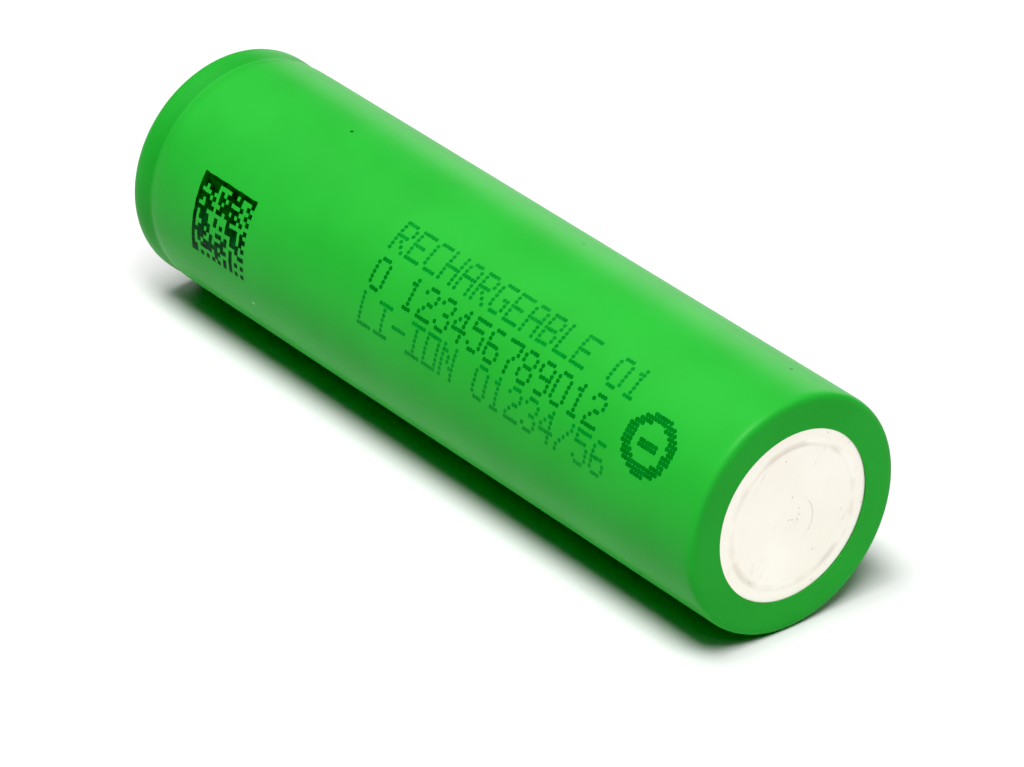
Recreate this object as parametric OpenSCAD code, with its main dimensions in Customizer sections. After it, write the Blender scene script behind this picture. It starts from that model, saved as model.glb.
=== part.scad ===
// Cylindrical lithium-ion cell, 18 mm class, lying on its side.
//
// Frame: millimetres. The origin is the middle of the cell's axis, +X runs along the axis
// towards the negative end, and +Z is up. Every module below draws its piece standing on the
// negative end with the axis along Z, and lay_down() turns the finished piece into the frame.
// Heights are therefore measured from the negative end unless a comment says otherwise.

/* [Overall] */
// Length over both terminals
cell_length = 65.2; // [60:0.1:70]
// Diameter over the shrink sleeve
cell_diameter = 18.2; // [17.8:0.1:18.8]

/* [Shrink sleeve and washer] */
// Thickness of the shrunk film
sleeve_t = 0.1; // [0.06:0.01:0.14]
// Radius of the opening that the film leaves on the negative end
negative_lip_r = 6.6; // [5.8:0.1:7.6]
// Radius of the opening that the film leaves on the positive end
positive_lip_r = 6.9; // [6.2:0.1:7.6]
// How far the film sinks over the can's groove
waist_depth = 0.18; // [0:0.02:0.18]
// Thickness of the insulating washer
washer_t = 0.2; // [0.1:0.05:0.3]
// Bore radius of the insulating washer
washer_bore_r = 5.2; // [5:0.1:6]

/* [Can] */
// Thickness of the can's wall
wall_t = 0.22; // [0.18:0.01:0.25]
// Thickness of the can's base
base_t = 0.3; // [0.26:0.02:0.4]
// Depth of the rolled groove, from wall to groove floor
groove_depth = 1.1; // [0.9:0.05:1.2]
// Radius of the coined ring on the base
coined_ring_r = 5.45; // [4.5:0.05:6]

/* [Header] */
// Thickness of the crimp gasket
gasket_t = 0.4; // [0.3:0.01:0.4]
// Thickness of the terminal cap
cap_t = 0.35; // [0.3:0.01:0.4]
// How far the terminal stands proud of the sleeve
terminal_rise = 0.2; // [0.1:0.05:0.4]
// Radius of the terminal's flat top, before its rounded edge
terminal_r = 4.35; // [3.8:0.05:4.4]
// Number of gas windows in the cap's wall
vent_count = 3; // [2:1:4]
// Thickness of the rupture disc
disc_t = 0.2; // [0.15:0.01:0.22]

/* [Winding] */
// Radius of the winding's open core
core_r = 1.75; // [1.75:0.05:2.2]
// Thickness of one electrode coating on the cathode foil
cathode_coat_t = 0.067; // [0.067:0.001:0.08]
// Thickness of one electrode coating on the anode foil
anode_coat_t = 0.059; // [0.059:0.001:0.08]
// Thickness of one separator film
separator_t = 0.02; // [0.012:0.002:0.024]

/* [Hidden] */
$fn = 96;

slip = 0.02;         // play between pieces that are stacked but not bonded
film_gap = 0.005;    // air between neighbouring layers of the winding
edge_r = 0.3;        // bend of the can's base corner, on the middle of the sheet
crimp_r = 0.9;       // bend of the can's crimped edge, on the middle of the sheet
crimp_lip_r = 6.9;   // inner edge of the crimped lip
groove_r = 0.5;      // radius of the rolled groove, on the middle of the sheet
groove_edge_r = 0.3; // bend where the wall turns into the groove
arc_step = 15;       // degrees between the points of a bend

// Can
can_r = cell_diameter / 2 - sleeve_t;
can_mid_r = can_r - wall_t / 2;
can_bore_r = can_r - wall_t;
floor_z = sleeve_t + base_t;
crimp_z = cell_length - terminal_rise - sleeve_t - washer_t;
groove_z = crimp_z - 2.5;
ledge_z = groove_z + groove_r + wall_t / 2;
roof_z = groove_z - groove_r - wall_t / 2;

// Header, stacked between the groove's ledge and the crimped lip
stack_floor_z = ledge_z + gasket_t;
stack_roof_z = crimp_z - wall_t - gasket_t;
stack_r = can_bore_r - gasket_t;
rim_low_z = stack_floor_z + slip + disc_t / 2;
rim_high_z = stack_roof_z - slip - disc_t / 2;
flange_z = (rim_low_z + rim_high_z) / 2;
web_z = stack_floor_z - 0.31;
support_t = 0.38;
support_z = web_z - disc_t / 2 - 0.35 - support_t;
support_r = 5.33;
contact_t = 0.1;
contact_z = support_z - contact_t;

// Winding: one turn holds inner separator, anode, outer separator and cathode
turn_steps = 24;
step_a = 360 / turn_steps;
anode_foil_t = 0.012;
cathode_foil_t = 0.016;
anode_at = separator_t + film_gap;
anode_foil_at = anode_at + anode_coat_t;
anode_out_at = anode_foil_at + anode_foil_t;
outer_separator_at = anode_out_at + anode_coat_t + film_gap;
cathode_at = outer_separator_at + separator_t + film_gap;
cathode_foil_at = cathode_at + cathode_coat_t;
cathode_out_at = cathode_foil_at + cathode_foil_t;
pitch = cathode_out_at + cathode_coat_t + film_gap;
roll_r = can_bore_r - 0.19;
last_step = floor((roll_r - core_r - outer_separator_at - separator_t) / pitch * turn_steps);
anode_first = 10;
anode_coat_first = 24;
anode_last = last_step - 8;
anode_coat_last = last_step - 14;
cathode_first = 24;
cathode_last = last_step - 40;
lane_half = 2;                                    // bare steps on each side of the tab's middle step
lane_mid = floor((cathode_first + cathode_last) / 2) + 1;
core_tab_steps = [anode_first, anode_first + 8];
rim_tab_steps = [anode_last - 5, anode_last - 3];

// Heights of the winding's edges
winding_z = [floor_z + 0.6, roof_z - 0.6];
anode_z = [winding_z[0] + 0.6, winding_z[1] - 0.6];
cathode_z = [winding_z[0] + 1.2, winding_z[1] - 1.2];
lower_insulator_z = floor_z + 0.22;
insulator_t = 0.2;
upper_insulator_z = roof_z - 0.5;
positive_tab_t = 0.065;
negative_tab_t = 0.055;
tab_w = 4;

// ---- Paths of bent sheet ----

function unit(v) = v / norm(v);
function left_of(v) = [-v[1], v[0]];
function reversed(list) = [for (i = [len(list) - 1:-1:0]) list[i]];

// The arc that rounds the corner at b, between the legs to a and c
function bend(a, b, c, r) =
    let (
        u = unit(a - b),
        v = unit(c - b),
        half = acos(max(-1, min(1, u * v))) / 2,
        centre = b + unit(u + v) * r / sin(half),
        first = b + u * r / tan(half) - centre,
        turn = 180 - 2 * half,
        side = sign(u[0] * v[1] - u[1] * v[0]),
        steps = max(1, ceil(turn / arc_step))
    )
    [for (i = [0:steps]) let (t = -side * turn * i / steps)
        centre + [first[0] * cos(t) - first[1] * sin(t), first[0] * sin(t) + first[1] * cos(t)]];

// Corners are [x, y, bend radius]; a corner with no radius stays sharp
function rounded(corners) = [
    for (i = [0:len(corners) - 1])
        let (p = corners[i], b = [p[0], p[1]])
        each (i == 0 || i == len(corners) - 1 || len(p) < 3) ? [b] :
            bend([corners[i - 1][0], corners[i - 1][1]], b,
                 [corners[i + 1][0], corners[i + 1][1]], p[2])
];

function shifted(path, d) = [
    for (i = [0:len(path) - 1])
        let (
            before = left_of(unit(path[max(i, 1)] - path[max(i, 1) - 1])),
            after = left_of(unit(path[min(i + 1, len(path) - 1)] - path[min(i, len(path) - 2)]))
        )
        path[i] + d * (before + after) / (1 + before * after)
];

// Outline of a sheet of thickness t whose middle follows the path
module sheet(path, t) {
    polygon(concat(shifted(path, t / 2), reversed(shifted(path, -t / 2))));
}

// The same sheet turned about the cell's axis; the path is [radius, height]
module spun_sheet(path, t) {
    rotate_extrude() sheet(path, t);
}

module ring(outer_r, inner_r, h) {
    difference() {
        cylinder(r = outer_r, h = h);
        translate([0, 0, -1]) cylinder(r = inner_r, h = h + 2);
    }
}

// ---- Wound layers ----

function spiral(from, to, at) = [
    for (k = [from:to])
        (core_r + pitch * k / turn_steps + at) * [cos(step_a * k), sin(step_a * k)]
];

// A layer from one step of the spiral to another, at a depth within the turn
module wound(from, to, at, t, z) {
    translate([0, 0, z[0]]) linear_extrude(height = z[1] - z[0])
        polygon(concat(spiral(from, to, at), reversed(spiral(from, to, at + t))));
}

// A strip cut as wide as a tab, bent along a path of [radius, height]
module tab_strip(path, t, w, a) {
    rotate([0, 0, a]) translate([0, w / 2, 0]) rotate([90, 0, 0])
        linear_extrude(height = w) sheet(path, t);
}

// ---- Outside ----

// Heat-shrunk film, folded over both ends and drawn into the groove
module shrink_sleeve() {
    mid_r = cell_diameter / 2 - sleeve_t / 2;
    top_z = cell_length - terminal_rise - sleeve_t / 2;
    shoulder_r = edge_r + wall_t / 2 + sleeve_t / 2 - slip / 2;
    waist_half = groove_r + groove_edge_r;
    waist_z = [groove_z - waist_half, groove_z + 0.1, groove_z + waist_half];
    color("limegreen") spun_sheet(concat(
        rounded([[negative_lip_r, sleeve_t / 2], [mid_r, sleeve_t / 2, shoulder_r],
                 [mid_r, waist_z[0]]]),
        [for (half = [0, 1], a = [30:30:180 - 30 * half])
            [mid_r - waist_depth * (half == 0 ? 1 - cos(a) : 1 + cos(a)) / 2,
             waist_z[half] + (waist_z[half + 1] - waist_z[half]) * a / 180]],
        rounded([[mid_r, waist_z[2]], [mid_r, top_z, crimp_r + 0.2], [positive_lip_r, top_z]])
    ), sleeve_t);
}

// Flat ring on the crimped edge, held down by the sleeve
module insulating_washer() {
    color("white") translate([0, 0, crimp_z])
        ring(can_mid_r - crimp_r - 0.1, washer_bore_r, washer_t);
}

// Deep-drawn can: base, wall, rolled groove and crimped lip
module can() {
    base_mid_z = sleeve_t + wall_t / 2;
    lip_z = crimp_z - wall_t / 2;
    groove_mid_r = can_mid_r - groove_depth;
    ring_w = 0.35;
    ring_depth = 0.03;
    color("gainsboro") difference() {
        union() {
            spun_sheet(rounded([
                [0, base_mid_z], [can_mid_r, base_mid_z, edge_r],
                [can_mid_r, groove_z - groove_r, groove_edge_r],
                [groove_mid_r, groove_z - groove_r, groove_r - 0.01],
                [groove_mid_r, groove_z + groove_r, groove_r - 0.01],
                [can_mid_r, groove_z + groove_r, groove_edge_r],
                [can_mid_r, lip_z, crimp_r], [crimp_lip_r, lip_z]
            ]), wall_t);
            translate([0, 0, base_mid_z])
                cylinder(r = can_bore_r - 0.03, h = base_t - wall_t / 2);
        }
        translate([0, 0, sleeve_t - 1])
            ring(coined_ring_r + ring_w / 2, coined_ring_r - ring_w / 2, 1 + ring_depth);
    }
}

// ---- Header ----

// Plastic channel that seals and insulates the header from the can
module crimp_gasket() {
    high_z = crimp_z - wall_t;
    color("ivory") rotate_extrude() polygon(concat(
        rounded([[6.2, ledge_z], [can_bore_r, ledge_z, 0.45], [can_bore_r, high_z, crimp_r],
                 [6.5, high_z]]),
        rounded([[6.5, stack_roof_z], [stack_r, stack_roof_z, 0.2], [stack_r, stack_floor_z, 0.1],
                 [6.2, stack_floor_z]])
    ));
}

// Pressed cap: flange, sloping wall with gas windows, and flat terminal
module terminal_cap() {
    top_z = cell_length - cap_t / 2;
    window = [1.8, 2.4, 0.7];
    color("silver") difference() {
        spun_sheet(rounded([
            [stack_r - disc_t - 0.05, flange_z], [5.2, flange_z, 0.35],
            [terminal_r, top_z, 0.35], [0, top_z]
        ]), cap_t);
        for (i = [0:vent_count - 1])
            rotate([0, 0, 360 * i / vent_count])
                translate([4.9, 0, (flange_z + top_z) / 2])
                    cube(window, center = true);
    }
}

// Thin disc hemmed round the cap's flange, with a scored ring and a dimple welded below
module rupture_disc() {
    rim_r = stack_r - slip - disc_t / 2;
    score_r = 3.9;
    score_depth = disc_t / 2;
    dimple_z = support_z + disc_t / 2;
    color("lightgray") difference() {
        spun_sheet(rounded([
            [7.2, rim_high_z], [rim_r, rim_high_z, 0.12], [rim_r, rim_low_z, 0.12],
            [6, rim_low_z, 0.2], [5.3, web_z, 0.2], [1.5, web_z, 0.2],
            [0.9, dimple_z, 0.2], [0, dimple_z]
        ]), disc_t);
        translate([0, 0, web_z + disc_t / 2]) rotate_extrude()
            polygon([[score_r - score_depth, 0.01], [score_r + score_depth, 0.01],
                     [score_r, -score_depth]]);
    }
}

// Plastic ring that holds the support disc under the rupture disc and apart from it
module interrupt_ring() {
    top_z = web_z - disc_t / 2;
    outer_r = support_r + 0.47;
    hook_z = support_z - 0.15;
    color("lightyellow") rotate_extrude() polygon([
        [4.4, top_z], [outer_r, top_z], [outer_r, hook_z], [support_r - 0.4, hook_z],
        [support_r - 0.4, support_z - slip], [support_r + slip, support_z - slip],
        [support_r + slip, support_z + support_t + slip], [4.4, support_z + support_t + slip]
    ]);
}

// Rigid disc with gas holes, the fixed side of the current interrupter
module support_disc() {
    hole_r = 0.65;
    color("lightgray") difference() {
        translate([0, 0, support_z]) cylinder(r = support_r, h = support_t);
        translate([0, 0, support_z - 1]) {
            cylinder(r = 1.5, h = support_t + 2);
            for (a = [0:60:300])
                rotate([0, 0, a]) translate([3.3, 0, 0])
                    cylinder(r = hole_r, h = support_t + 2, $fn = 32);
        }
    }
}

// Thin disc that bridges the support disc's hole and tears away from the dimple
module contact_disc() {
    color("lightgray") translate([0, 0, contact_z]) cylinder(r = 2.3, h = contact_t);
}

// ---- Tabs and insulators ----

// Aluminium tab: up from the bare lane in the winding, then folded under the contact disc
module positive_tab() {
    lane_a = step_a * (lane_mid + 0.5);
    lane_r = core_r + pitch * (lane_mid + 0.5) / turn_steps + cathode_out_at;
    weld_z = contact_z - positive_tab_t / 2;
    fold_z = weld_z - 0.3;
    color("silver") union() {
        wound(lane_mid - 1, lane_mid + 2, cathode_out_at, positive_tab_t,
              [cathode_z[0] + 8, upper_insulator_z + 0.45]);
        tab_strip(rounded([
            [lane_r - 0.02, upper_insulator_z + 0.3], [lane_r - 0.02, fold_z, 0.2],
            [-2.4, fold_z, 0.14], [-2.4, weld_z, 0.14], [1.8, weld_z]
        ]), positive_tab_t, tab_w, lane_a);
    }
}

// Tape over the bare lane, and round the tab where it leaves the winding
module positive_tab_tape() {
    tape_t = 0.03;
    exit_z = [winding_z[1] + 0.01, upper_insulator_z + 0.28];
    from = lane_mid - lane_half;
    to = lane_mid + lane_half + 1;
    color("goldenrod") {
        wound(from, to, cathode_foil_at - 0.05, 0.045, cathode_z);
        wound(from + 1, to - 1, cathode_out_at - tape_t - film_gap, tape_t, exit_z);
        wound(from + 1, to - 1, cathode_out_at + positive_tab_t + film_gap, tape_t, exit_z);
    }
}

// Disc above the winding, slotted for the tab and pierced for gas
module upper_insulator() {
    lane_a = step_a * (lane_mid + 0.5);
    lane_r = core_r + pitch * (lane_mid + 0.5) / turn_steps + cathode_out_at;
    color("whitesmoke") difference() {
        translate([0, 0, upper_insulator_z]) cylinder(r = can_bore_r - 0.15, h = insulator_t + 0.05);
        translate([0, 0, upper_insulator_z - 1]) {
            cylinder(r = 1.7, h = 3);
            rotate([0, 0, lane_a]) translate([lane_r - 0.75, -tab_w / 2 - 0.6, 0])
                cube([1.2, tab_w + 1.2, 3]);
            for (a = [45:45:315])
                rotate([0, 0, lane_a + a]) translate([5.6, 0, 0]) cylinder(r = 0.9, h = 3, $fn = 32);
        }
    }
}

// Tape that closes the winding
module winding_tape() {
    color("khaki") translate([0, 0, winding_z[0] + 7])
        ring(roll_r + 0.06, roll_r + 0.02, winding_z[1] - winding_z[0] - 14);
}

// Nickel tab on the anode's inner end, with a foot welded at the middle of the base
module negative_tab_core() {
    tab_r = core_r + pitch * core_tab_steps[0] / turn_steps + anode_at;
    foot_z = floor_z + negative_tab_t + film_gap;
    mid_a = step_a * (core_tab_steps[0] + core_tab_steps[1]) / 2;
    color("silver") union() {
        wound(core_tab_steps[0], core_tab_steps[1], anode_at, negative_tab_t,
              [foot_z, anode_z[1] - 8]);
        intersection() {
            translate([0, 0, foot_z]) cylinder(r = tab_r + 0.1, h = negative_tab_t);
            rotate([0, 0, mid_a]) translate([-1.4, -1.7, foot_z]) cube([4, 3.4, negative_tab_t]);
        }
    }
}

// Nickel tab on the anode's outer end, folded along the base to its middle
module negative_tab_rim() {
    mid_step = (rim_tab_steps[0] + rim_tab_steps[1]) / 2;
    tab_r = core_r + pitch * mid_step / turn_steps + anode_out_at + negative_tab_t / 2;
    run_z = floor_z + negative_tab_t / 2;
    color("silver") union() {
        wound(rim_tab_steps[0], rim_tab_steps[1], anode_out_at, negative_tab_t,
              [winding_z[0] - 0.25, anode_z[1] - 8]);
        tab_strip(rounded([
            [tab_r - 0.15, winding_z[0] - 0.02], [tab_r - 0.15, run_z, 0.2], [-1.2, run_z]
        ]), negative_tab_t, tab_w, step_a * mid_step);
    }
}

// Disc under the winding, open in the middle and notched for the rim tab
module lower_insulator() {
    mid_step = (rim_tab_steps[0] + rim_tab_steps[1]) / 2;
    disc_r = can_bore_r - 0.18;
    color("whitesmoke") difference() {
        translate([0, 0, lower_insulator_z]) cylinder(r = disc_r, h = insulator_t);
        translate([0, 0, lower_insulator_z - 1]) {
            cylinder(r = 2.4, h = 3);
            rotate([0, 0, step_a * mid_step]) translate([disc_r - 0.95, -tab_w / 2 - 0.5, 0])
                cube([2, tab_w + 1, 3]);
        }
    }
}

// ---- Winding ----

module separator_inner() {
    color("snow") wound(0, last_step, 0, separator_t, winding_z);
}

module separator_outer() {
    color("snow") wound(0, last_step, outer_separator_at, separator_t, winding_z);
}

// Copper foil, bare at both ends where the nickel tabs are welded
module anode_foil() {
    color("peru") wound(anode_first, anode_last, anode_foil_at, anode_foil_t, anode_z);
}

// Graphite coating on both faces of the copper foil
module anode_coating() {
    color("dimgray") for (at = [anode_at, anode_out_at])
        wound(anode_coat_first, anode_coat_last, at, anode_coat_t, anode_z);
}

module cathode_foil() {
    color("silver") wound(cathode_first, cathode_last, cathode_foil_at, cathode_foil_t, cathode_z);
}

// Oxide coating on both faces of the aluminium foil, left off in the tab's lane
module cathode_coating() {
    color("darkslategray") for (at = [cathode_at, cathode_out_at]) {
        wound(cathode_first, lane_mid - lane_half, at, cathode_coat_t, cathode_z);
        wound(lane_mid + lane_half + 1, cathode_last, at, cathode_coat_t, cathode_z);
    }
}

// Rolled steel tube, split along its length, that keeps the core open for gas
module centre_pin() {
    pin_r = core_r - 0.1;
    slit_w = 0.5;
    color("lightgray") difference() {
        translate([0, 0, winding_z[0] + 1.5])
            ring(pin_r, pin_r - 0.2, winding_z[1] - winding_z[0] - 3);
        translate([0, -slit_w / 2, 0]) cube([pin_r + 1, slit_w, cell_length]);
    }
}

// ---- Assembly ----

module lay_down() {
    translate([cell_length / 2, 0, 0]) rotate([0, -90, 0]) children();
}

lay_down() shrink_sleeve();
lay_down() insulating_washer();
lay_down() can();
lay_down() crimp_gasket();
lay_down() terminal_cap();
lay_down() rupture_disc();
lay_down() interrupt_ring();
lay_down() support_disc();
lay_down() contact_disc();
lay_down() positive_tab();
lay_down() positive_tab_tape();
lay_down() upper_insulator();
lay_down() winding_tape();
lay_down() separator_inner();
lay_down() anode_foil();
lay_down() anode_coating();
lay_down() separator_outer();
lay_down() cathode_foil();
lay_down() cathode_coating();
lay_down() centre_pin();
lay_down() negative_tab_core();
lay_down() negative_tab_rim();
lay_down() lower_insulator();
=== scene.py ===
import math
import random

import bpy
from mathutils import Matrix, Vector


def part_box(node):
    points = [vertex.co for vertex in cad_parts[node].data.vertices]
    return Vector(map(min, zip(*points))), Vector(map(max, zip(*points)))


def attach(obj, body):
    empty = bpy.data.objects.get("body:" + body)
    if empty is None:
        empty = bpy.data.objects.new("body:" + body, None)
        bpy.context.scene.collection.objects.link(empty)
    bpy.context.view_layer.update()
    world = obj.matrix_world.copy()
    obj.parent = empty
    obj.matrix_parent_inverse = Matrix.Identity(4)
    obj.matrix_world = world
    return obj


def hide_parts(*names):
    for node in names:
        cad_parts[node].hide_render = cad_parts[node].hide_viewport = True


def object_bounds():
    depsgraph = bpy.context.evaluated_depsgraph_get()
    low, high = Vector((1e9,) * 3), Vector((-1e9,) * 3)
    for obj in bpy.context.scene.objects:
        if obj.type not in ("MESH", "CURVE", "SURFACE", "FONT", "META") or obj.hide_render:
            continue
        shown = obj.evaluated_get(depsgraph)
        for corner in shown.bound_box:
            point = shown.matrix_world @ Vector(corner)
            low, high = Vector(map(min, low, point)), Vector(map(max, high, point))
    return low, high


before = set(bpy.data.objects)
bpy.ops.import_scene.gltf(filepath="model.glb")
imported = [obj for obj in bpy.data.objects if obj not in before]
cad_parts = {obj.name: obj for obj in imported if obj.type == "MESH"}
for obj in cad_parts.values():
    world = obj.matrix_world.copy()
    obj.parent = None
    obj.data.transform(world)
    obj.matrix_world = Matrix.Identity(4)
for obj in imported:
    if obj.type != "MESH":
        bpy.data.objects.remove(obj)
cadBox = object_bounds()
mm = 0.001

filmLow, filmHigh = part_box("shrink_sleeve")
canLow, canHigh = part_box("can")
washerLow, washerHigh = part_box("insulating_washer")
capLow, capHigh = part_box("terminal_cap")


def fromEnd(x):
    # distance in mm from the film's negative end, the way all heights below are given
    return (filmHigh.x - x) / mm


# Camera

view = {
    "turn": 51.684,       # degrees round the cell
    "tilt": 30.45,        # degrees above the floor
    "focal": 232.83,      # mm on a 36 mm sensor
    "distance": 471.6,    # mm in front of the cell's middle
    "across": 1.103,      # mm that the aim stands right of the middle
    "under": 3.955,       # mm that the aim stands under the middle
    "clip": (0.01, 20),   # m between which the camera sees
}


def placeCamera():
    turn = math.radians(view["turn"])
    tilt = math.radians(view["tilt"])
    right = Vector((math.cos(turn), math.sin(turn), 0))
    back = Vector((math.sin(turn) * math.cos(tilt), -math.cos(turn) * math.cos(tilt), math.sin(tilt)))
    up = back.cross(right)
    place = (right * view["across"] - up * view["under"] + back * view["distance"]) * mm
    bpy.ops.object.camera_add(location=place, rotation=(math.pi / 2 - tilt, 0, turn))
    camera = bpy.context.object
    camera.data.lens = view["focal"]
    camera.data.clip_start, camera.data.clip_end = view["clip"]
    bpy.context.scene.camera = camera


placeCamera()
print("camera placed")


# Turned pieces

turning = {
    "sides": 256,
    "arcStep": 11,     # degrees between the points of a bend
    "merge": 0.0001,   # mm between points that are one and the same
}


def deselect():
    if bpy.context.object and bpy.context.object.mode != "OBJECT":
        bpy.ops.object.mode_set(mode="OBJECT")
    bpy.ops.object.select_all(action="DESELECT")


def rounded(corners):
    # corners are (height, radius) or (height, radius, bend); a bend becomes an arc
    points = []
    for i, corner in enumerate(corners):
        here = Vector(corner[:2])
        if len(corner) < 3:
            points.append(here)
            continue
        bend = corner[2]
        u = (Vector(corners[i - 1][:2]) - here).normalized()
        v = (Vector(corners[i + 1][:2]) - here).normalized()
        half = u.angle(v) / 2
        centre = here + (u + v).normalized() * bend / math.sin(half)
        arm = here + u * bend / math.tan(half) - centre
        sweep = (math.pi - 2 * half) * (1 if v.cross(u) > 0 else -1)
        steps = max(3, round(abs(sweep) / math.radians(turning["arcStep"])))
        for k in range(steps + 1):
            points.append(centre + Matrix.Rotation(sweep * k / steps, 2) @ arm)
    return points


def turned(name, outline, sides=turning["sides"]):
    # as on a lathe: a circle at the first point, extruded ring by ring along the outline
    deselect()
    first = outline[0]
    bpy.ops.mesh.primitive_circle_add(
        vertices=sides, radius=first[1] * mm, rotation=(0, math.pi / 2, 0),
        location=(filmHigh.x - first[0] * mm, 0, 0))
    piece = bpy.context.object
    piece.name = name
    bpy.ops.object.transform_apply(location=True, rotation=True, scale=True)
    bpy.ops.object.mode_set(mode="EDIT")
    bpy.ops.mesh.select_all(action="SELECT")
    for last, point in zip(outline, outline[1:]):
        bpy.ops.mesh.extrude_edges_move(
            TRANSFORM_OT_translate={"value": ((last[0] - point[0]) * mm, 0, 0)})
        if point[1] > 0:
            grow = point[1] / last[1]
            x = filmHigh.x - point[0] * mm
            bpy.ops.transform.resize(value=(1, grow, grow), center_override=(x, 0, 0))
        else:
            bpy.ops.mesh.merge(type="CENTER")
    bpy.ops.mesh.select_all(action="SELECT")
    bpy.ops.mesh.remove_doubles(threshold=turning["merge"] * mm)
    bpy.ops.mesh.normals_make_consistent(inside=False)
    bpy.ops.object.mode_set(mode="OBJECT")
    return piece


def applied(piece, kind, **settings):
    # adds a modifier and applies it
    deselect()
    piece.select_set(True)
    bpy.context.view_layer.objects.active = piece
    modifier = piece.modifiers.new(kind.title(), kind)
    for key, value in settings.items():
        setattr(modifier, key, value)
    bpy.ops.object.modifier_apply(modifier=modifier.name)


def thickened(piece, wall):
    # the outline is the outer face, so the wall grows inwards from it
    applied(piece, "SOLIDIFY", thickness=wall * mm, offset=-1, use_even_offset=True)


def smoothed(piece, angle):
    deselect()
    piece.select_set(True)
    bpy.context.view_layer.objects.active = piece
    bpy.ops.object.shade_smooth_by_angle(angle=math.radians(angle))


def finished(piece, material, slot, *nodes):
    piece.data.materials.clear()
    piece.data.materials.append(material)
    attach(piece, "root")
    if nodes:
        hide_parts(*nodes)
    return piece


# Materials

def linear(code):
    # sRGB hex to the linear colour that the shader takes
    parts = [int(code[i:i + 2], 16) / 255 for i in (1, 3, 5)]
    return [c / 12.92 if c <= 0.04045 else ((c + 0.055) / 1.055) ** 2.4 for c in parts] + [1]


def addNode(tree, kind, settings, links=None, out=0):
    # keys are a socket's name or number, or one of the node's own settings; a socket takes hex too
    made = tree.nodes.new("ShaderNode" + kind)
    for key, value in settings.items():
        if isinstance(key, int) or key in made.inputs:
            made.inputs[key].default_value = linear(value) if isinstance(value, str) else value
        else:
            setattr(made, key, value)
    for key, source in (links or {}).items():
        tree.links.new(source, made.inputs[key])
    return made.outputs[out]


def newMaterial(name, settings):
    material = bpy.data.materials.new(name)
    material.use_nodes = True
    tree = material.node_tree
    for key, value in settings.items():
        tree.nodes["Principled BSDF"].inputs[key].default_value = value
    place = addNode(tree, "TexCoord", {}, out="Object")
    return material, tree, place


def dressed(material, patterns):
    # gives each named socket of the shader its pattern
    tree = material.node_tree
    for key, source in patterns.items():
        tree.links.new(source, tree.nodes["Principled BSDF"].inputs[key])
    return material


def clouds(tree, place, size, detail=2, low=0.35, high=0.65):
    # soft patches of a size in mm, stretched to the full range from 0 to 1
    patches = addNode(tree, "TexNoise", {"Scale": 1 / (size * mm), "Detail": detail}, {"Vector": place})
    return addNode(tree, "MapRange", {"From Min": low, "From Max": high}, {"Value": patches})


def band(tree, distance, radius, width):
    # 1 on a ring of this radius and fading to 0 at half the width on both sides, all in mm
    away = addNode(tree, "Math", {"operation": "SUBTRACT", 1: radius * mm}, {0: distance})
    away = addNode(tree, "Math", {"operation": "ABSOLUTE"}, {0: away})
    edges = {"From Min": width * mm / 2, "From Max": width * mm / 8}
    return addNode(tree, "MapRange", edges, {"Value": away})


def overlap(tree, *patterns):
    # what shows only where all the patterns do
    shown = patterns[0]
    for pattern in patterns[1:]:
        shown = addNode(tree, "Math", {"operation": "MULTIPLY"}, {0: shown, 1: pattern})
    return shown


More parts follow.
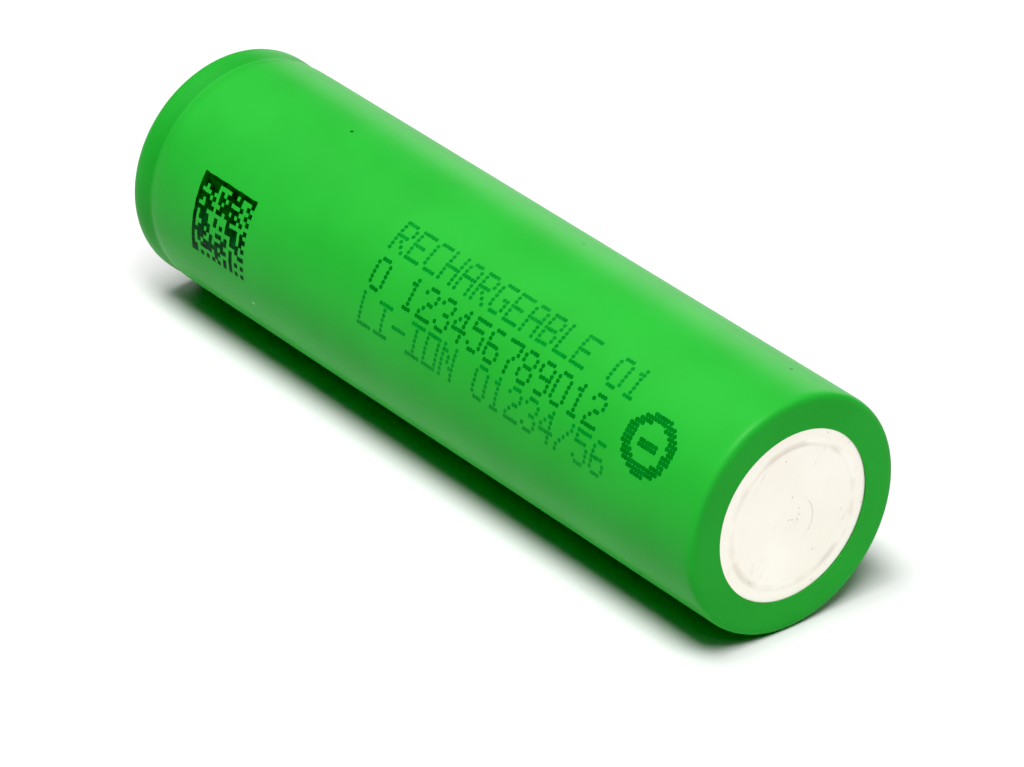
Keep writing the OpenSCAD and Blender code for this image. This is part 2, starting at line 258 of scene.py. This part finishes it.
def filmMaterial():
    # PVC film, extruded and heat-shrunk: even satin green, a faint pull along the can,
    # painted shade over the groove, a few caught specks
    look = {
        "tones": ("#31a63a", "#2fa037"), "patch": 7.0,
        "groove": (62.35, 62.55, 65.6),     # heights where the painted shade starts, is full and is gone
        # painted shade over the groove: its colour and its largest share
        "shade": "#06380e", "paintedShadeShare": 0.24,
        "net": 3.4, "speckEdge": (0.05, 0.03),     # the net's cell in mm, a speck's rim in cells
        "specks": ((0, 0.72, "#8fc994"), (1, 0.8, "#0d4a18")),     # random channel, share without, colour
        "grain": 0.12, "grainDepth": 0.0006, "rough": (0.36, 0.44),
        "pull": 4.0, "pullLong": 4, "pullDepth": 0.006,
    }
    material, tree, place = newMaterial("shrunk_pvc_film", {"Specular IOR Level": 0.085, "IOR": 1.5})
    tones = {"data_type": "RGBA", 6: look["tones"][0], 7: look["tones"][1]}
    tone = addNode(tree, "Mix", tones, {0: clouds(tree, place, look["patch"])}, 2)

    # painted shade over the groove: it starts sharply at the groove's near edge and fades out past it
    along = addNode(tree, "SeparateXYZ", {}, {0: place})
    near, full, gone = [filmHigh.x - height * mm for height in look["groove"]]
    start = addNode(tree, "MapRange", {"From Min": near, "From Max": full}, {"Value": along})
    fade = addNode(tree, "MapRange", {"From Min": gone, "From Max": full}, {"Value": along})
    shade = addNode(tree, "MapRange", {"To Max": look["paintedShadeShare"]}, {"Value": overlap(tree, start, fade)})
    tone = addNode(tree, "Mix", {"data_type": "RGBA", 7: look["shade"]}, {0: shade, 6: tone}, 2)

    # a speck is a pinhead in a few of the cells of a wide net, light or dark
    away = addNode(tree, "TexVoronoi", {"Scale": 1 / (look["net"] * mm)}, {"Vector": place}, "Distance")
    chance = addNode(tree, "SeparateColor", {}, {0: away.node.outputs["Color"]}).node.outputs
    edge = {"From Min": look["speckEdge"][0], "From Max": look["speckEdge"][1]}
    pinhead = addNode(tree, "MapRange", edge, {"Value": away})
    for channel, without, colour in look["specks"]:
        few = addNode(tree, "Math", {"operation": "GREATER_THAN", 1: without}, {0: chance[channel]})
        few = overlap(tree, few, pinhead)
        tone = addNode(tree, "Mix", {"data_type": "RGBA", 7: colour}, {0: few, 6: tone}, 2)

    grain = clouds(tree, place, look["grain"], 3)
    satin = {"To Min": look["rough"][0], "To Max": look["rough"][1]}
    rough = addNode(tree, "MapRange", satin, {"Value": grain})
    longWay = addNode(tree, "Mapping", {"Scale": (1 / look["pullLong"], 1, 1)}, {"Vector": place})
    pull = clouds(tree, longWay, look["pull"])
    bump = addNode(tree, "Bump", {"Distance": look["pullDepth"] * mm}, {"Height": pull})
    bump = addNode(tree, "Bump", {"Distance": look["grainDepth"] * mm}, {"Height": grain, "Normal": bump})
    return dressed(material, {"Base Color": tone, "Roughness": rough, "Normal": bump})


def inkMaterial(name, low, high):
    # solvent ink, jet printed: it soaks in unevenly, so each dot is blotched and speckled
    look = {"blotch": 0.7, "speckle": 0.09, "speckleShare": 0.3, "speckleDepth": 0.001}
    material, tree, place = newMaterial(name, {"Roughness": 0.45, "Specular IOR Level": 0.1})
    blotch = clouds(tree, place, look["blotch"], 3)
    tone = addNode(tree, "Mix", {"data_type": "RGBA", 6: low, 7: high}, {0: blotch}, 2)
    speckle = clouds(tree, place, look["speckle"], 1)
    share = addNode(tree, "MapRange", {"To Max": look["speckleShare"]}, {"Value": speckle})
    tone = addNode(tree, "Mix", {"data_type": "RGBA", 7: high}, {0: share, 6: tone}, 2)
    bump = addNode(tree, "Bump", {"Distance": look["speckleDepth"] * mm}, {"Height": speckle})
    return dressed(material, {"Base Color": tone, "Normal": bump})


# marks that handling leaves in plating, and painted shade in the coined ring: sizes in mm, places
# from the cell's axis; a limit is the part of a cloudy pattern that shows
marks = {
    "patch": 4.0,
    # the ring's darker colour is painted shade in the coined ring, patchy round it
    "ring": 5.45, "ringShadeWide": 0.7, "ringShadePatch": 2.6, "ringShadeLimits": (0.42, 0.6),
    "rub": 0.2, "rubLong": 7, "rubSlant": -35, "rubLimits": (0.64, 0.76),     # 7 times as long as wide
    "rubPatch": 2.4, "rubPatchLimits": (0.54, 0.62), "rubShare": 0.32,
    "scratch": 2.0, "scratchWide": 0.16, "scratchMiddle": (0, -0.2, -0.5), "scratchSide": (1.1, 1.5),
    "scratchPatch": 0.5, "scratchLimits": (0.35, 0.5), "scratchShare": 0.3,
    "pitEdge": (0.06, 0.035), "pitShare": 0.8,
    "grain": 0.16, "grainDepth": 0.0006, "dentDepth": 0.004,
}


def nickelMaterial(name, look):
    # steel sheet, drawn and nickel plated: soft warm-white shine, painted shade in the coined ring, rubs
    # and pits
    material, tree, place = newMaterial(name, {"Metallic": 1.0})
    tones = {"data_type": "RGBA", 6: look["bright"], 7: look["dull"]}
    tone = addNode(tree, "Mix", tones, {0: clouds(tree, place, marks["patch"])}, 2)
    across = addNode(tree, "VectorMath", {"operation": "MULTIPLY", 1: (0, 1, 1)}, {0: place})
    fromAxis = addNode(tree, "VectorMath", {"operation": "LENGTH"}, {0: across}, "Value")

    # painted shade in the coined ring, darker on some sides than on others
    ring = band(tree, fromAxis, marks["ring"], marks["ringShadeWide"])
    ringShade = overlap(tree, ring, clouds(tree, place, marks["ringShadePatch"], 2, *marks["ringShadeLimits"]))

    # short rubs all run one way across the face
    slant = {"Rotation": (math.radians(marks["rubSlant"]), 0, 0), "Scale": (1, 1, marks["rubLong"])}
    slanted = addNode(tree, "Mapping", {"vector_type": "TEXTURE", **slant}, {"Vector": place})
    rubs = overlap(tree, clouds(tree, slanted, marks["rub"], 2, *marks["rubLimits"]),
                   clouds(tree, place, marks["rubPatch"], 1, *marks["rubPatchLimits"]))

    # one scratch runs in an arc beside the middle; the huge scale takes the height out of it
    centred = {"Location": Vector(marks["scratchMiddle"]) * mm, "Scale": (1e6, 1, 1)}
    moved = addNode(tree, "Mapping", {"vector_type": "TEXTURE", **centred}, {"Vector": place})
    reach = addNode(tree, "VectorMath", {"operation": "LENGTH"}, {0: moved}, "Value")
    aside = addNode(tree, "SeparateXYZ", {}, {0: moved}, 1)
    sides = {"From Min": marks["scratchSide"][0] * mm, "From Max": marks["scratchSide"][1] * mm}
    right = addNode(tree, "MapRange", sides, {"Value": aside})
    scratch = overlap(tree, band(tree, reach, marks["scratch"], marks["scratchWide"]), right,
                      clouds(tree, place, marks["scratchPatch"], 2, *marks["scratchLimits"]))

    # pits: a dark grain in a few of the cells of a net, fading out away from the middle
    pits = []
    for cell, without, inside in look["pits"]:
        away = addNode(tree, "TexVoronoi", {"Scale": 1 / (cell * mm)}, {"Vector": place}, "Distance")
        edge = {"From Min": marks["pitEdge"][0] / cell, "From Max": marks["pitEdge"][1] / cell}
        hole = addNode(tree, "MapRange", edge, {"Value": away})
        chance = away.node.outputs["Color"]
        few = addNode(tree, "Math", {"operation": "GREATER_THAN", 1: without}, {0: chance})
        reaches = {"From Min": inside * mm, "From Max": inside / 2 * mm}
        pits.append(overlap(tree, hole, few, addNode(tree, "MapRange", reaches, {"Value": fromAxis})))
    pitted = addNode(tree, "Math", {"operation": "MAXIMUM"}, dict(enumerate(pits)))

    # the rub colour paints the rubs, the scratch and the painted shade in the coined ring
    wearAndShade = ((ringShade, look["ringShade"], look["rub"]), (rubs, marks["rubShare"], look["rub"]),
            (scratch, marks["scratchShare"], look["rub"]), (pitted, marks["pitShare"], look["pit"]))
    for pattern, most, colour in wearAndShade:
        share = addNode(tree, "MapRange", {"To Max": most}, {"Value": pattern})
        tone = addNode(tree, "Mix", {"data_type": "RGBA", 7: colour}, {0: share, 6: tone}, 2)

    grain = clouds(tree, place, marks["grain"])
    shine = {"To Min": look["rough"][0], "To Max": look["rough"][1]}
    rough = addNode(tree, "MapRange", shine, {"Value": grain})
    dents = addNode(tree, "Math", {"operation": "ADD"}, {0: scratch, 1: pitted})
    sunk = addNode(tree, "Math", {"operation": "MULTIPLY", 1: -1.0}, {0: dents})
    bump = addNode(tree, "Bump", {"Distance": marks["grainDepth"] * mm}, {"Height": grain})
    bump = addNode(tree, "Bump", {"Distance": marks["dentDepth"] * mm}, {"Height": sunk, "Normal": bump})
    return dressed(material, {"Base Color": tone, "Roughness": rough, "Normal": bump})


def fibreMaterial():
    # pressed fibre paper: matt off-white with short fibres lying every way
    look = {"tones": ("#d9d4c6", "#f0ede4"), "fibre": 0.5, "curl": 2.2, "range": (0.4, 0.6), "depth": 0.008}
    material, tree, place = newMaterial("pressed_fibre", {"Roughness": 0.85, "Specular IOR Level": 0.3})
    curls = {"Scale": 1 / (look["fibre"] * mm), "Detail": 5.0, "Distortion": look["curl"]}
    wisp = addNode(tree, "TexNoise", curls, {"Vector": place})
    edges = {"From Min": look["range"][0], "From Max": look["range"][1]}
    wisp = addNode(tree, "MapRange", edges, {"Value": wisp})
    tones = {"data_type": "RGBA", 6: look["tones"][0], 7: look["tones"][1]}
    tone = addNode(tree, "Mix", tones, {0: wisp}, 2)
    bump = addNode(tree, "Bump", {"Distance": look["depth"] * mm}, {"Height": wisp})
    return dressed(material, {"Base Color": tone, "Normal": bump})


# for the pieces inside: name, two tones, pattern in mm, roughness, relief in mm, and 1 for a metal
insideLooks = {
    "gasket_plastic": ("moulded_polypropylene", "#e9e6dc", "#dcd8cb", 1.4, 0.45, 0.002, 0),
    "aluminium_sheet": ("rolled_aluminium", "#d6d8da", "#c3c6c9", 0.5, 0.34, 0.0015, 1),
    "ring_plastic": ("moulded_pbt", "#ece3c6", "#dfd5b4", 1.1, 0.42, 0.002, 0),
    "tab_tape": ("polyimide_tape", "#c98a2b", "#b57720", 1.6, 0.3, 0.001, 0),
    "insulator_sheet": ("die_cut_polyester", "#eef0ee", "#dde0dd", 1.8, 0.5, 0.002, 0),
    "closing_tape": ("polyester_tape", "#cbb86a", "#bca957", 2.0, 0.32, 0.001, 0),
    "separator_film": ("porous_polyethylene", "#f3f3f1", "#e4e5e2", 0.4, 0.6, 0.001, 0),
    "copper_foil": ("rolled_copper", "#c8784f", "#b4653e", 0.5, 0.36, 0.0012, 1),
    "graphite_coating": ("calendered_graphite", "#2b2c2e", "#202123", 0.3, 0.62, 0.002, 0),
    "oxide_coating": ("calendered_oxide", "#26282a", "#1a1c1d", 0.3, 0.75, 0.002, 0),
    "nickel_strip": ("slit_nickel", "#cfccc4", "#bdb9af", 0.4, 0.3, 0.0012, 1),
    "stainless_tube": ("rolled_stainless", "#c5c6c8", "#b0b2b5", 0.6, 0.33, 0.0015, 1),
}


def insideMaterial(name, low, high, size, rough, relief, metallic):
    # rolled metal is streaked along the cell, plastic and coatings are cloudy all ways
    look = {"streak": 0.15, "smoother": 0.05, "rougher": 0.08}
    material, tree, place = newMaterial(name, {"Metallic": metallic})
    streak = look["streak"] if metallic else 1
    longWay = addNode(tree, "Mapping", {"Scale": (streak, 1, 1)}, {"Vector": place})
    grain = clouds(tree, longWay, size, 3)
    tone = addNode(tree, "Mix", {"data_type": "RGBA", 6: low, 7: high}, {0: grain}, 2)
    spread = {"To Min": rough - look["smoother"], "To Max": rough + look["rougher"]}
    shine = addNode(tree, "MapRange", spread, {"Value": grain})
    bump = addNode(tree, "Bump", {"Distance": relief * mm}, {"Height": grain})
    return dressed(material, {"Base Color": tone, "Roughness": shine, "Normal": bump})


filmGreen = filmMaterial()
inks = {
    "thin": inkMaterial("jet_ink_thin", "#177a29", "#1b882e"),
    "full": inkMaterial("jet_ink_full", "#0f6a21", "#137627"),
    "code": inkMaterial("jet_ink_code", "#03170a", "#074216"),
}
# the first share below is the painted shade in the coined ring, drawn in the rub colour
# each kind of pit: its net's cell in mm, the share of cells without one, and how far out it reaches
baseNickel = nickelMaterial("plated_steel_base", {
    "bright": "#f1ede4", "dull": "#eee9de", "rub": "#a08f78", "pit": "#4b4334",
    "ringShade": 0.24, "rough": (0.38, 0.44), "pits": ((0.22, 0.5, 1.0), (0.62, 0.74, 9.0))})
capNickel = nickelMaterial("plated_steel_cap", {
    "bright": "#e9e6df", "dull": "#d8d4ca", "rub": "#9a9383", "pit": "#5a5244",
    "ringShade": 0.0, "rough": (0.26, 0.34), "pits": ((0.22, 0.5, 1.0), (0.62, 0.94, 9.0))})
fibre = fibreMaterial()

for slotName, look in insideLooks.items():
    material = insideMaterial(*look)
    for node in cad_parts.values():
        for slot in node.material_slots:
            if slot.material and slot.material.name.split(".")[0] == slotName:
                slot.material = material
print("materials made")


# Shrink film

film = {
    "radius": 9.092, "wall": 0.065,
    "nearLip": 6.51, "nearFold": (6.9, 7.4),
    "nearBend": 1.15, "nearSquare": 4.6, "nearSteps": 18,     # at 2 the bend is round, above that fuller
    "farLip": 6.9, "farFold": (7.5, 7.2), "farBend": 1.15, "rimDrop": 0.03,
    "loop": 4,     # between the loops of the barrel
    # the can narrows a little before its groove: (height, drop from the radius)
    "neck": ((59.4, 0), (60.4, 0.012), (61.2, 0.02), (61.9, 0.06)),
    # the film creases over the groove: (distance past the crease, drop from the radius)
    "crease": 62.3,
    "creases": ((-0.12, 0.185), (0, 0.2), (0.08, 0.194), (0.3, 0.16), (0.6, 0.125), (1.0, 0.038)),
    # folded edges gather inside this radius, in waves of (count, size, shift)
    "foldEdge": 8, "pucker": 0.035, "waves": ((23, 1, 0), (37, 0.6, 1), (11, 0.4, 2)),
    "foldWide": 1.4, "waver": 0.012, "nearWave": (3, 0.6),     # the near fold only wavers a little
    "smooth": 40,
}


def nearShoulder():
    # a quarter of a squarish loop, from the end's face to the barrel
    points = []
    for step in range(film["nearSteps"] + 1):
        turn = math.pi / 2 * step / film["nearSteps"]
        out = max(0, math.sin(turn)) ** (2 / film["nearSquare"])
        along = max(0, math.cos(turn)) ** (2 / film["nearSquare"])
        points.append((film["nearBend"] * (1 - along), film["radius"] - film["nearBend"] * (1 - out)))
    return points


def makeFilm():
    far = fromEnd(filmLow.x)
    radius = film["radius"]
    neck = [(height, radius - drop) for height, drop in film["neck"]]
    creases = [(film["crease"] + past, radius - drop) for past, drop in film["creases"]]
    barrel = [(height, radius) for height in range(3, int(neck[0][0]), film["loop"])]
    outline = rounded(
        [(0, film["nearLip"])] + [(0, r) for r in film["nearFold"]] + nearShoulder() + barrel + neck
        + creases + [(far, radius - film["rimDrop"], film["farBend"])]
        + [(far, r) for r in film["farFold"]] + [(far, film["farLip"])])
    piece = turned("shrink_film", outline)
    for vertex in piece.data.vertices:
        height = fromEnd(vertex.co.x)
        angle = math.atan2(vertex.co.z, vertex.co.y)
        inside = film["foldEdge"] - vertex.co.yz.length / mm
        if inside > 0 and height > far - 0.2:
            wave = sum(size * math.sin(count * angle + shift) for count, size, shift in film["waves"])
            vertex.co.x -= film["pucker"] * inside * (0.5 + 0.25 * wave) * mm
        if inside > 0 and height < 0.01:
            wave = (1 + math.sin(film["nearWave"][0] * angle + film["nearWave"][1])) / 2
            vertex.co.x -= film["waver"] * inside / film["foldWide"] * wave * mm
    thickened(piece, film["wall"])
    smoothed(piece, film["smooth"])
    return finished(piece, filmGreen, "sleeve_film", "shrink_sleeve")


makeFilm()
print("film shrunk")


# Can

can = {
    "wall": 0.22, "baseBend": 0.41, "middle": 30,
    "groove": (61.7, 62.7), "grooveDepth": 1.1, "grooveBend": 0.38, "grooveEdges": (0.41, 0.7),
    "lip": 6.9, "crimpFold": 7.4, "crimpBend": 1.01,
    "ring": marks["ring"], "ringWidth": 0.4, "ringDepth": 0.03, "ringFlat": 0.12,
    "loop": 0.3, "loops": 16,     # rings of faces over the middle of the base
    "welds": ((0.45, 0.35, 0.5), (-0.55, -0.25, 0.45)),     # y, z and radius of the weld dimples
    "weldDepth": 0.03, "smooth": 40,
}


def makeCan():
    base = fromEnd(canHigh.x)
    top = fromEnd(canLow.x)
    radius = canHigh.z / mm
    wall = can["wall"]
    rim = radius - film["rimDrop"]
    neck = [(height, radius - drop) for height, drop in film["neck"]]
    low = can["groove"][0] + wall / 2
    high = can["groove"][1] - wall / 2
    floor = radius - can["grooveDepth"]
    ring = can["ring"]
    half = can["ringWidth"] / 2
    sunk = base + can["ringDepth"]
    shell = [(top, can["lip"]), (top, can["crimpFold"]), (top, rim, can["crimpBend"]),
             (high, rim, can["grooveEdges"][1]), (high, floor, can["grooveBend"]),
             (low, floor, can["grooveBend"]), (low, neck[2][1], can["grooveEdges"][0]),
             neck[1], neck[0], (can["middle"], radius), (base, radius, can["baseBend"])]
    coined = [(base, ring + half + can["ringFlat"]), (base, ring + half), (sunk, ring + half / 2),
              (sunk, ring - half / 2), (base, ring - half), (base, ring - half - can["ringFlat"])]
    centre = [(base, can["loop"] * k) for k in range(can["loops"], -1, -1)]
    piece = turned("drawn_can", rounded(shell + coined + centre))
    for vertex in piece.data.vertices:
        if fromEnd(vertex.co.x) > base + 0.001:
            continue
        for y, z, size in can["welds"]:
            away = math.hypot(vertex.co.y / mm - y, vertex.co.z / mm - z) / size
            if away < 1:
                vertex.co.x -= can["weldDepth"] * (1 - away * away) ** 2 * mm
    thickened(piece, wall)
    smoothed(piece, can["smooth"])
    return finished(piece, baseNickel, "nickel_plated_steel", "can")


makeCan()
print("can drawn")


# Washer and terminal cap

washer = {"bore": 5.2, "middle": 6.5, "edge": 0.04, "smooth": 50}


def makeWasher():
    low = fromEnd(washerHigh.x)
    high = fromEnd(washerLow.x)
    outer = washerHigh.z / mm
    inner = washer["bore"]
    edge = washer["edge"]
    half = (low + high) / 2
    loop = rounded([(half, inner), (high, inner, edge), (high, washer["middle"]), (high, outer, edge),
                    (low, outer, edge), (low, washer["middle"]), (low, inner, edge), (half, inner)])
    piece = turned("fibre_washer", loop)
    smoothed(piece, washer["smooth"])
    return finished(piece, fibre, "washer_fibre", "insulating_washer")


makeWasher()

cap = {
    "sides": 192, "wall": 0.35, "flange": 63.82, "foot": 5.298, "footBend": 0.175,
    "top": 4.448, "topBend": 0.525, "loop": 0.5, "loops": 7, "smooth": 35,
    # gas windows: how many, size along, across and through the wall, rounding, and middle
    "windows": 3, "window": (0.7, 2.4, 1.8), "windowBend": 0.12, "windowAt": 4.9, "windowRise": 0.52,
}


def makeWindowCutter(turn):
    deselect()
    bpy.ops.mesh.primitive_cube_add(size=mm)
    cutter = bpy.context.object
    cutter.scale = cap["window"]
    bpy.ops.object.transform_apply(scale=True)
    applied(cutter, "BEVEL", width=cap["windowBend"] * mm, segments=3)
    x = filmHigh.x - (cap["flange"] + cap["windowRise"]) * mm
    cutter.matrix_world = (Matrix.Rotation(turn, 4, "X")
                           @ Matrix.Translation((x, 0, cap["windowAt"] * mm)))
    return cutter


def makeCap():
    top = fromEnd(capLow.x)
    centre = [(top, cap["loop"] * k) for k in range(cap["loops"], -1, -1)]
    outline = rounded([(cap["flange"], capHigh.z / mm), (cap["flange"], cap["foot"], cap["footBend"]),
                       (top, cap["top"], cap["topBend"])] + centre)
    piece = turned("pressed_terminal", outline, cap["sides"])
    thickened(piece, cap["wall"])
    cutters = [makeWindowCutter(2 * math.pi * k / cap["windows"]) for k in range(cap["windows"])]
    for cutter in cutters:
        applied(piece, "BOOLEAN", object=cutter, operation="DIFFERENCE", solver="EXACT")
        bpy.data.objects.remove(cutter)
    smoothed(piece, cap["smooth"])
    return finished(piece, capNickel, "nickel_plated_steel", "terminal_cap")


makeCap()
print("washer and cap set")


# Printing on the film

# 5 by 7 dot letters, one word a row from the top
dotLetters = {
    "A": ".###. #...# #...# ##### #...# #...# #...#",
    "B": "####. #...# #...# ####. #...# #...# ####.",
    "C": ".#### #.... #.... #.... #.... #.... .####",
    "E": "##### #.... #.... ####. #.... #.... #####",
    "G": ".#### #.... #.... #..## #...# #...# .###.",
    "H": "#...# #...# #...# ##### #...# #...# #...#",
    "I": "##### ..#.. ..#.. ..#.. ..#.. ..#.. #####",
    "L": "#.... #.... #.... #.... #.... #.... #####",
    "N": "#...# ##..# #.#.# #.#.# #..## #...# #...#",
    "O": "##### #...# #...# #...# #...# #...# #####",
    "R": "####. #...# #...# ####. #.#.. #..#. #...#",
    "-": "..... ..... ..... ##### ..... ..... .....",
    "/": "....# ....# ...#. ..#.. .#... #.... #....",
    "0": ".###. #...# #...# #...# #...# #...# .###.",
    "1": "..#.. .##.. ..#.. ..#.. ..#.. ..#.. .###.",
    "2": ".###. #...# ....# ..##. .#... #.... #####",
    "3": ".###. #...# ....# ..##. ....# #...# .###.",
    "4": "...#. ..##. .#.#. #..#. ##### ...#. ...#.",
    "5": "##### #.... ####. ....# ....# #...# .###.",
    "6": ".###. #.... #.... ####. #...# #...# .###.",
    "7": "##### ....# ....# ...#. ..#.. ..#.. ..#..",
    "8": ".###. #...# #...# .###. #...# #...# .###.",
    "9": ".###. #...# #...# .#### ....# ....# .###.",
}

# start is the height of the first column and arc the way round the film to the top line, both in mm
printing = {
    "top": 9.096, "depth": 0.008, "softEdge": 0.02, "crown": 0.001, "dotSides": 10,
    "rows": [
        {"name": "print_row_1", "text": "RECHARGEABLE 01", "start": 37.1, "arc": 18.7, "ink": "thin"},
        {"name": "print_row_2", "text": "0 123456789012", "start": 37.1, "arc": 21.82, "ink": "full"},
        {"name": "print_row_3", "text": "LI-ION 01234/56", "start": 37.1, "arc": 24.62, "ink": "thin"},
    ],
    "letter": 1.855, "column": 0.31, "line": 0.37, "dot": (0.36, 0.34), "stray": (0.02, 0.015), "seed": 7,
    "mark": {"start": 9.1, "arc": 20.7, "wide": 5.0, "high": 4.5, "dot": (0.40, 0.36), "line": 0.33,
             "hole": 0.68, "minus": (0.42, 0.14), "stray": (0.03, 0.02)},     # shares of the half size
    "code": {"start": 56.8, "arc": 23.5, "cells": 18, "cell": 0.347, "filled": 0.52,
             "spread": (1.12, 1.06), "stray": (0.025, 0.025), "seed": 41},
}


def makeDot(wide, high, sides):
    # a flat drop of ink with a soft edge, lying on top of the barrel
    deselect()
    bpy.ops.mesh.primitive_cylinder_add(vertices=sides, radius=mm / 2, depth=printing["depth"] * mm,
                                        rotation=(0, 0, math.pi / sides))
    dot = bpy.context.object
    bpy.ops.object.transform_apply(rotation=True)
    size = 1 if sides > 4 else math.sqrt(2)     # a square is as wide as its sides, not its corners
    dot.scale = (wide * size, high * size, 1)
    bpy.ops.object.transform_apply(scale=True)
    bpy.ops.object.mode_set(mode="EDIT")
    bpy.ops.mesh.select_all(action="DESELECT")
    bpy.ops.object.mode_set(mode="OBJECT")
    for face in dot.data.polygons:
        face.select = face.normal.z > 0.9
    bpy.ops.object.mode_set(mode="EDIT")
    bpy.ops.mesh.inset(thickness=printing["softEdge"] * mm)
    bpy.ops.transform.translate(value=(0, 0, printing["crown"] * mm))
    bpy.ops.object.mode_set(mode="OBJECT")
    return dot


def printed(name, dot, places, material):
    # places are (height, arc) in mm; each copy is turned round the cell to its arc
    copies = []
    middle = printing["top"] - printing["crown"] - printing["depth"] / 2
    for height, arc in places:
        copy = dot.copy()
        copy.data = dot.data.copy()
        bpy.context.collection.objects.link(copy)
        turn = arc / film["radius"] - math.pi / 2
        place = Vector((filmHigh.x - height * mm, 0, middle * mm))
        copy.matrix_world = Matrix.Rotation(turn, 4, "X") @ Matrix.Translation(place)
        copies.append(copy)
    deselect()
    for copy in copies:
        copy.select_set(True)
    piece = copies[0]
    piece.name = name
    bpy.context.view_layer.objects.active = piece
    bpy.ops.object.join()
    bpy.ops.object.transform_apply(location=True, rotation=True, scale=True)
    bpy.data.objects.remove(dot)
    return finished(piece, material, "sleeve_film")


def strayed(height, arc, stray):
    # a drop of ink never lands quite where it is sent
    return height + random.uniform(-stray[0], stray[0]), arc + random.uniform(-stray[1], stray[1])


def makeRows():
    random.seed(printing["seed"])
    for row in printing["rows"]:
        places = []
        for i, letter in enumerate(row["text"]):
            if letter == " ":
                continue
            for line, word in enumerate(dotLetters[letter].split()):
                for column, ink in enumerate(word):
                    if ink == "#":
                        height = row["start"] - i * printing["letter"] - column * printing["column"]
                        arc = row["arc"] + line * printing["line"]
                        places.append(strayed(height, arc, printing["stray"]))
        printed(row["name"], makeDot(*printing["dot"], printing["dotSides"]), places, inks[row["ink"]])


def makeMark():
    # a minus sign in a ring marks the negative end
    mark = printing["mark"]
    places = []
    columns = round(mark["wide"] / printing["column"])
    lines = round(mark["high"] / mark["line"])
    for line in range(lines):
        for column in range(columns):
            across = (column + 0.5) * printing["column"]
            down = (line + 0.5) * mark["line"]
            u = (across - mark["wide"] / 2) / (mark["wide"] / 2)
            v = (down - mark["high"] / 2) / (mark["high"] / 2)
            inRing = mark["hole"] < math.hypot(u, v) < 1
            inMinus = abs(u) < mark["minus"][0] and abs(v) < mark["minus"][1]
            if inRing or inMinus:
                places.append(strayed(mark["start"] - across, mark["arc"] + down, mark["stray"]))
    printed("print_mark", makeDot(*mark["dot"], printing["dotSides"]), places, inks["full"])


def makeCode():
    # square of random cells with a solid and a broken border; it carries no data
    code = printing["code"]
    random.seed(code["seed"])
    cell = code["cell"]
    last = code["cells"] - 1
    places = []
    for line in range(code["cells"]):
        for column in range(code["cells"]):
            if line == 0 or column == 0:
                ink = True
            elif line == last or column == last:
                ink = (line + column) % 2 == 0
            else:
                ink = random.random() < code["filled"]
            if ink:
                height = code["start"] - column * cell
                places.append(strayed(height, code["arc"] + line * cell, code["stray"]))
    square = makeDot(cell * code["spread"][0], cell * code["spread"][1], 4)
    printed("print_code", square, places, inks["code"])


makeRows()
makeMark()
makeCode()
print("film printed")


# Studio

# lights are round softboxes, in metres and watts; turn is degrees from +X towards +Y, tilt is
# degrees above the floor
studio = {
    "floor": 0.7, "floorTones": ("#dcdcdc", "#dadada"), "floorPatch": 90,
    "air": 0.08, "backdrop": 1.15,
    "blackPoint": 0.02,
    "away": 1.5,
    "lights": {
        "key_softbox": {"turn": 270, "tilt": 76, "across": 0.64, "power": 19.5},
        "side_softbox": {"turn": 332, "tilt": 66, "across": 0.64, "power": 15.0},
        "back_softbox": {"turn": 120, "tilt": 9, "across": 1.07, "power": 6.0},
        "far_softbox": {"turn": 180, "tilt": 62, "across": 1.07, "power": 2.2},
        "near_softbox": {"turn": 0, "tilt": 58, "across": 1.07, "power": 1.6},
    },
}


def addLight(name, look):
    turn = math.radians(look["turn"])
    tilt = math.radians(look["tilt"])
    way = Vector((math.cos(turn) * math.cos(tilt), math.sin(turn) * math.cos(tilt), math.sin(tilt)))
    bpy.ops.object.light_add(type="AREA", location=way * studio["away"],
                             rotation=way.to_track_quat("Z", "Y").to_euler())
    light = bpy.context.object
    light.name = name
    light.data.shape = "DISK"
    light.data.size = look["across"]
    light.data.energy = look["power"]


def makeFloor():
    # matt painted sweep: plain white with hardly any patches
    deselect()
    bpy.ops.mesh.primitive_plane_add(size=studio["floor"], location=(0, 0, cadBox[0].z))
    floor = bpy.context.object
    floor.name = "studio_floor"
    material, tree, place = newMaterial("matt_white_sweep", {"Roughness": 0.9, "Specular IOR Level": 0.2})
    tones = {"data_type": "RGBA", 6: studio["floorTones"][0], 7: studio["floorTones"][1]}
    tone = addNode(tree, "Mix", tones, {0: clouds(tree, place, studio["floorPatch"])}, 2)
    floor.data.materials.append(dressed(material, {"Base Color": tone}))


def makeAir():
    # the backdrop is seen as white but lights the cell only faintly
    world = bpy.data.worlds.new("studio_air")
    world.use_nodes = True
    bpy.context.scene.world = world
    tree = world.node_tree
    background = tree.nodes["Background"]
    background.inputs["Color"].default_value = (1, 1, 1, 1)
    seen = addNode(tree, "LightPath", {}, out="Is Camera Ray")
    glow = {"To Min": studio["air"], "To Max": studio["backdrop"]}
    strength = addNode(tree, "MapRange", glow, {"Value": seen})
    tree.links.new(strength, background.inputs["Strength"])


def makeStudio():
    makeFloor()
    for name, look in studio["lights"].items():
        addLight(name, look)
    makeAir()
    shown = bpy.context.scene.view_settings
    shown.view_transform = "Standard"
    shown.use_curve_mapping = True
    shown.curve_mapping.black_level = [studio["blackPoint"]] * 3
    shown.curve_mapping.update()


makeStudio()
print("studio lit")
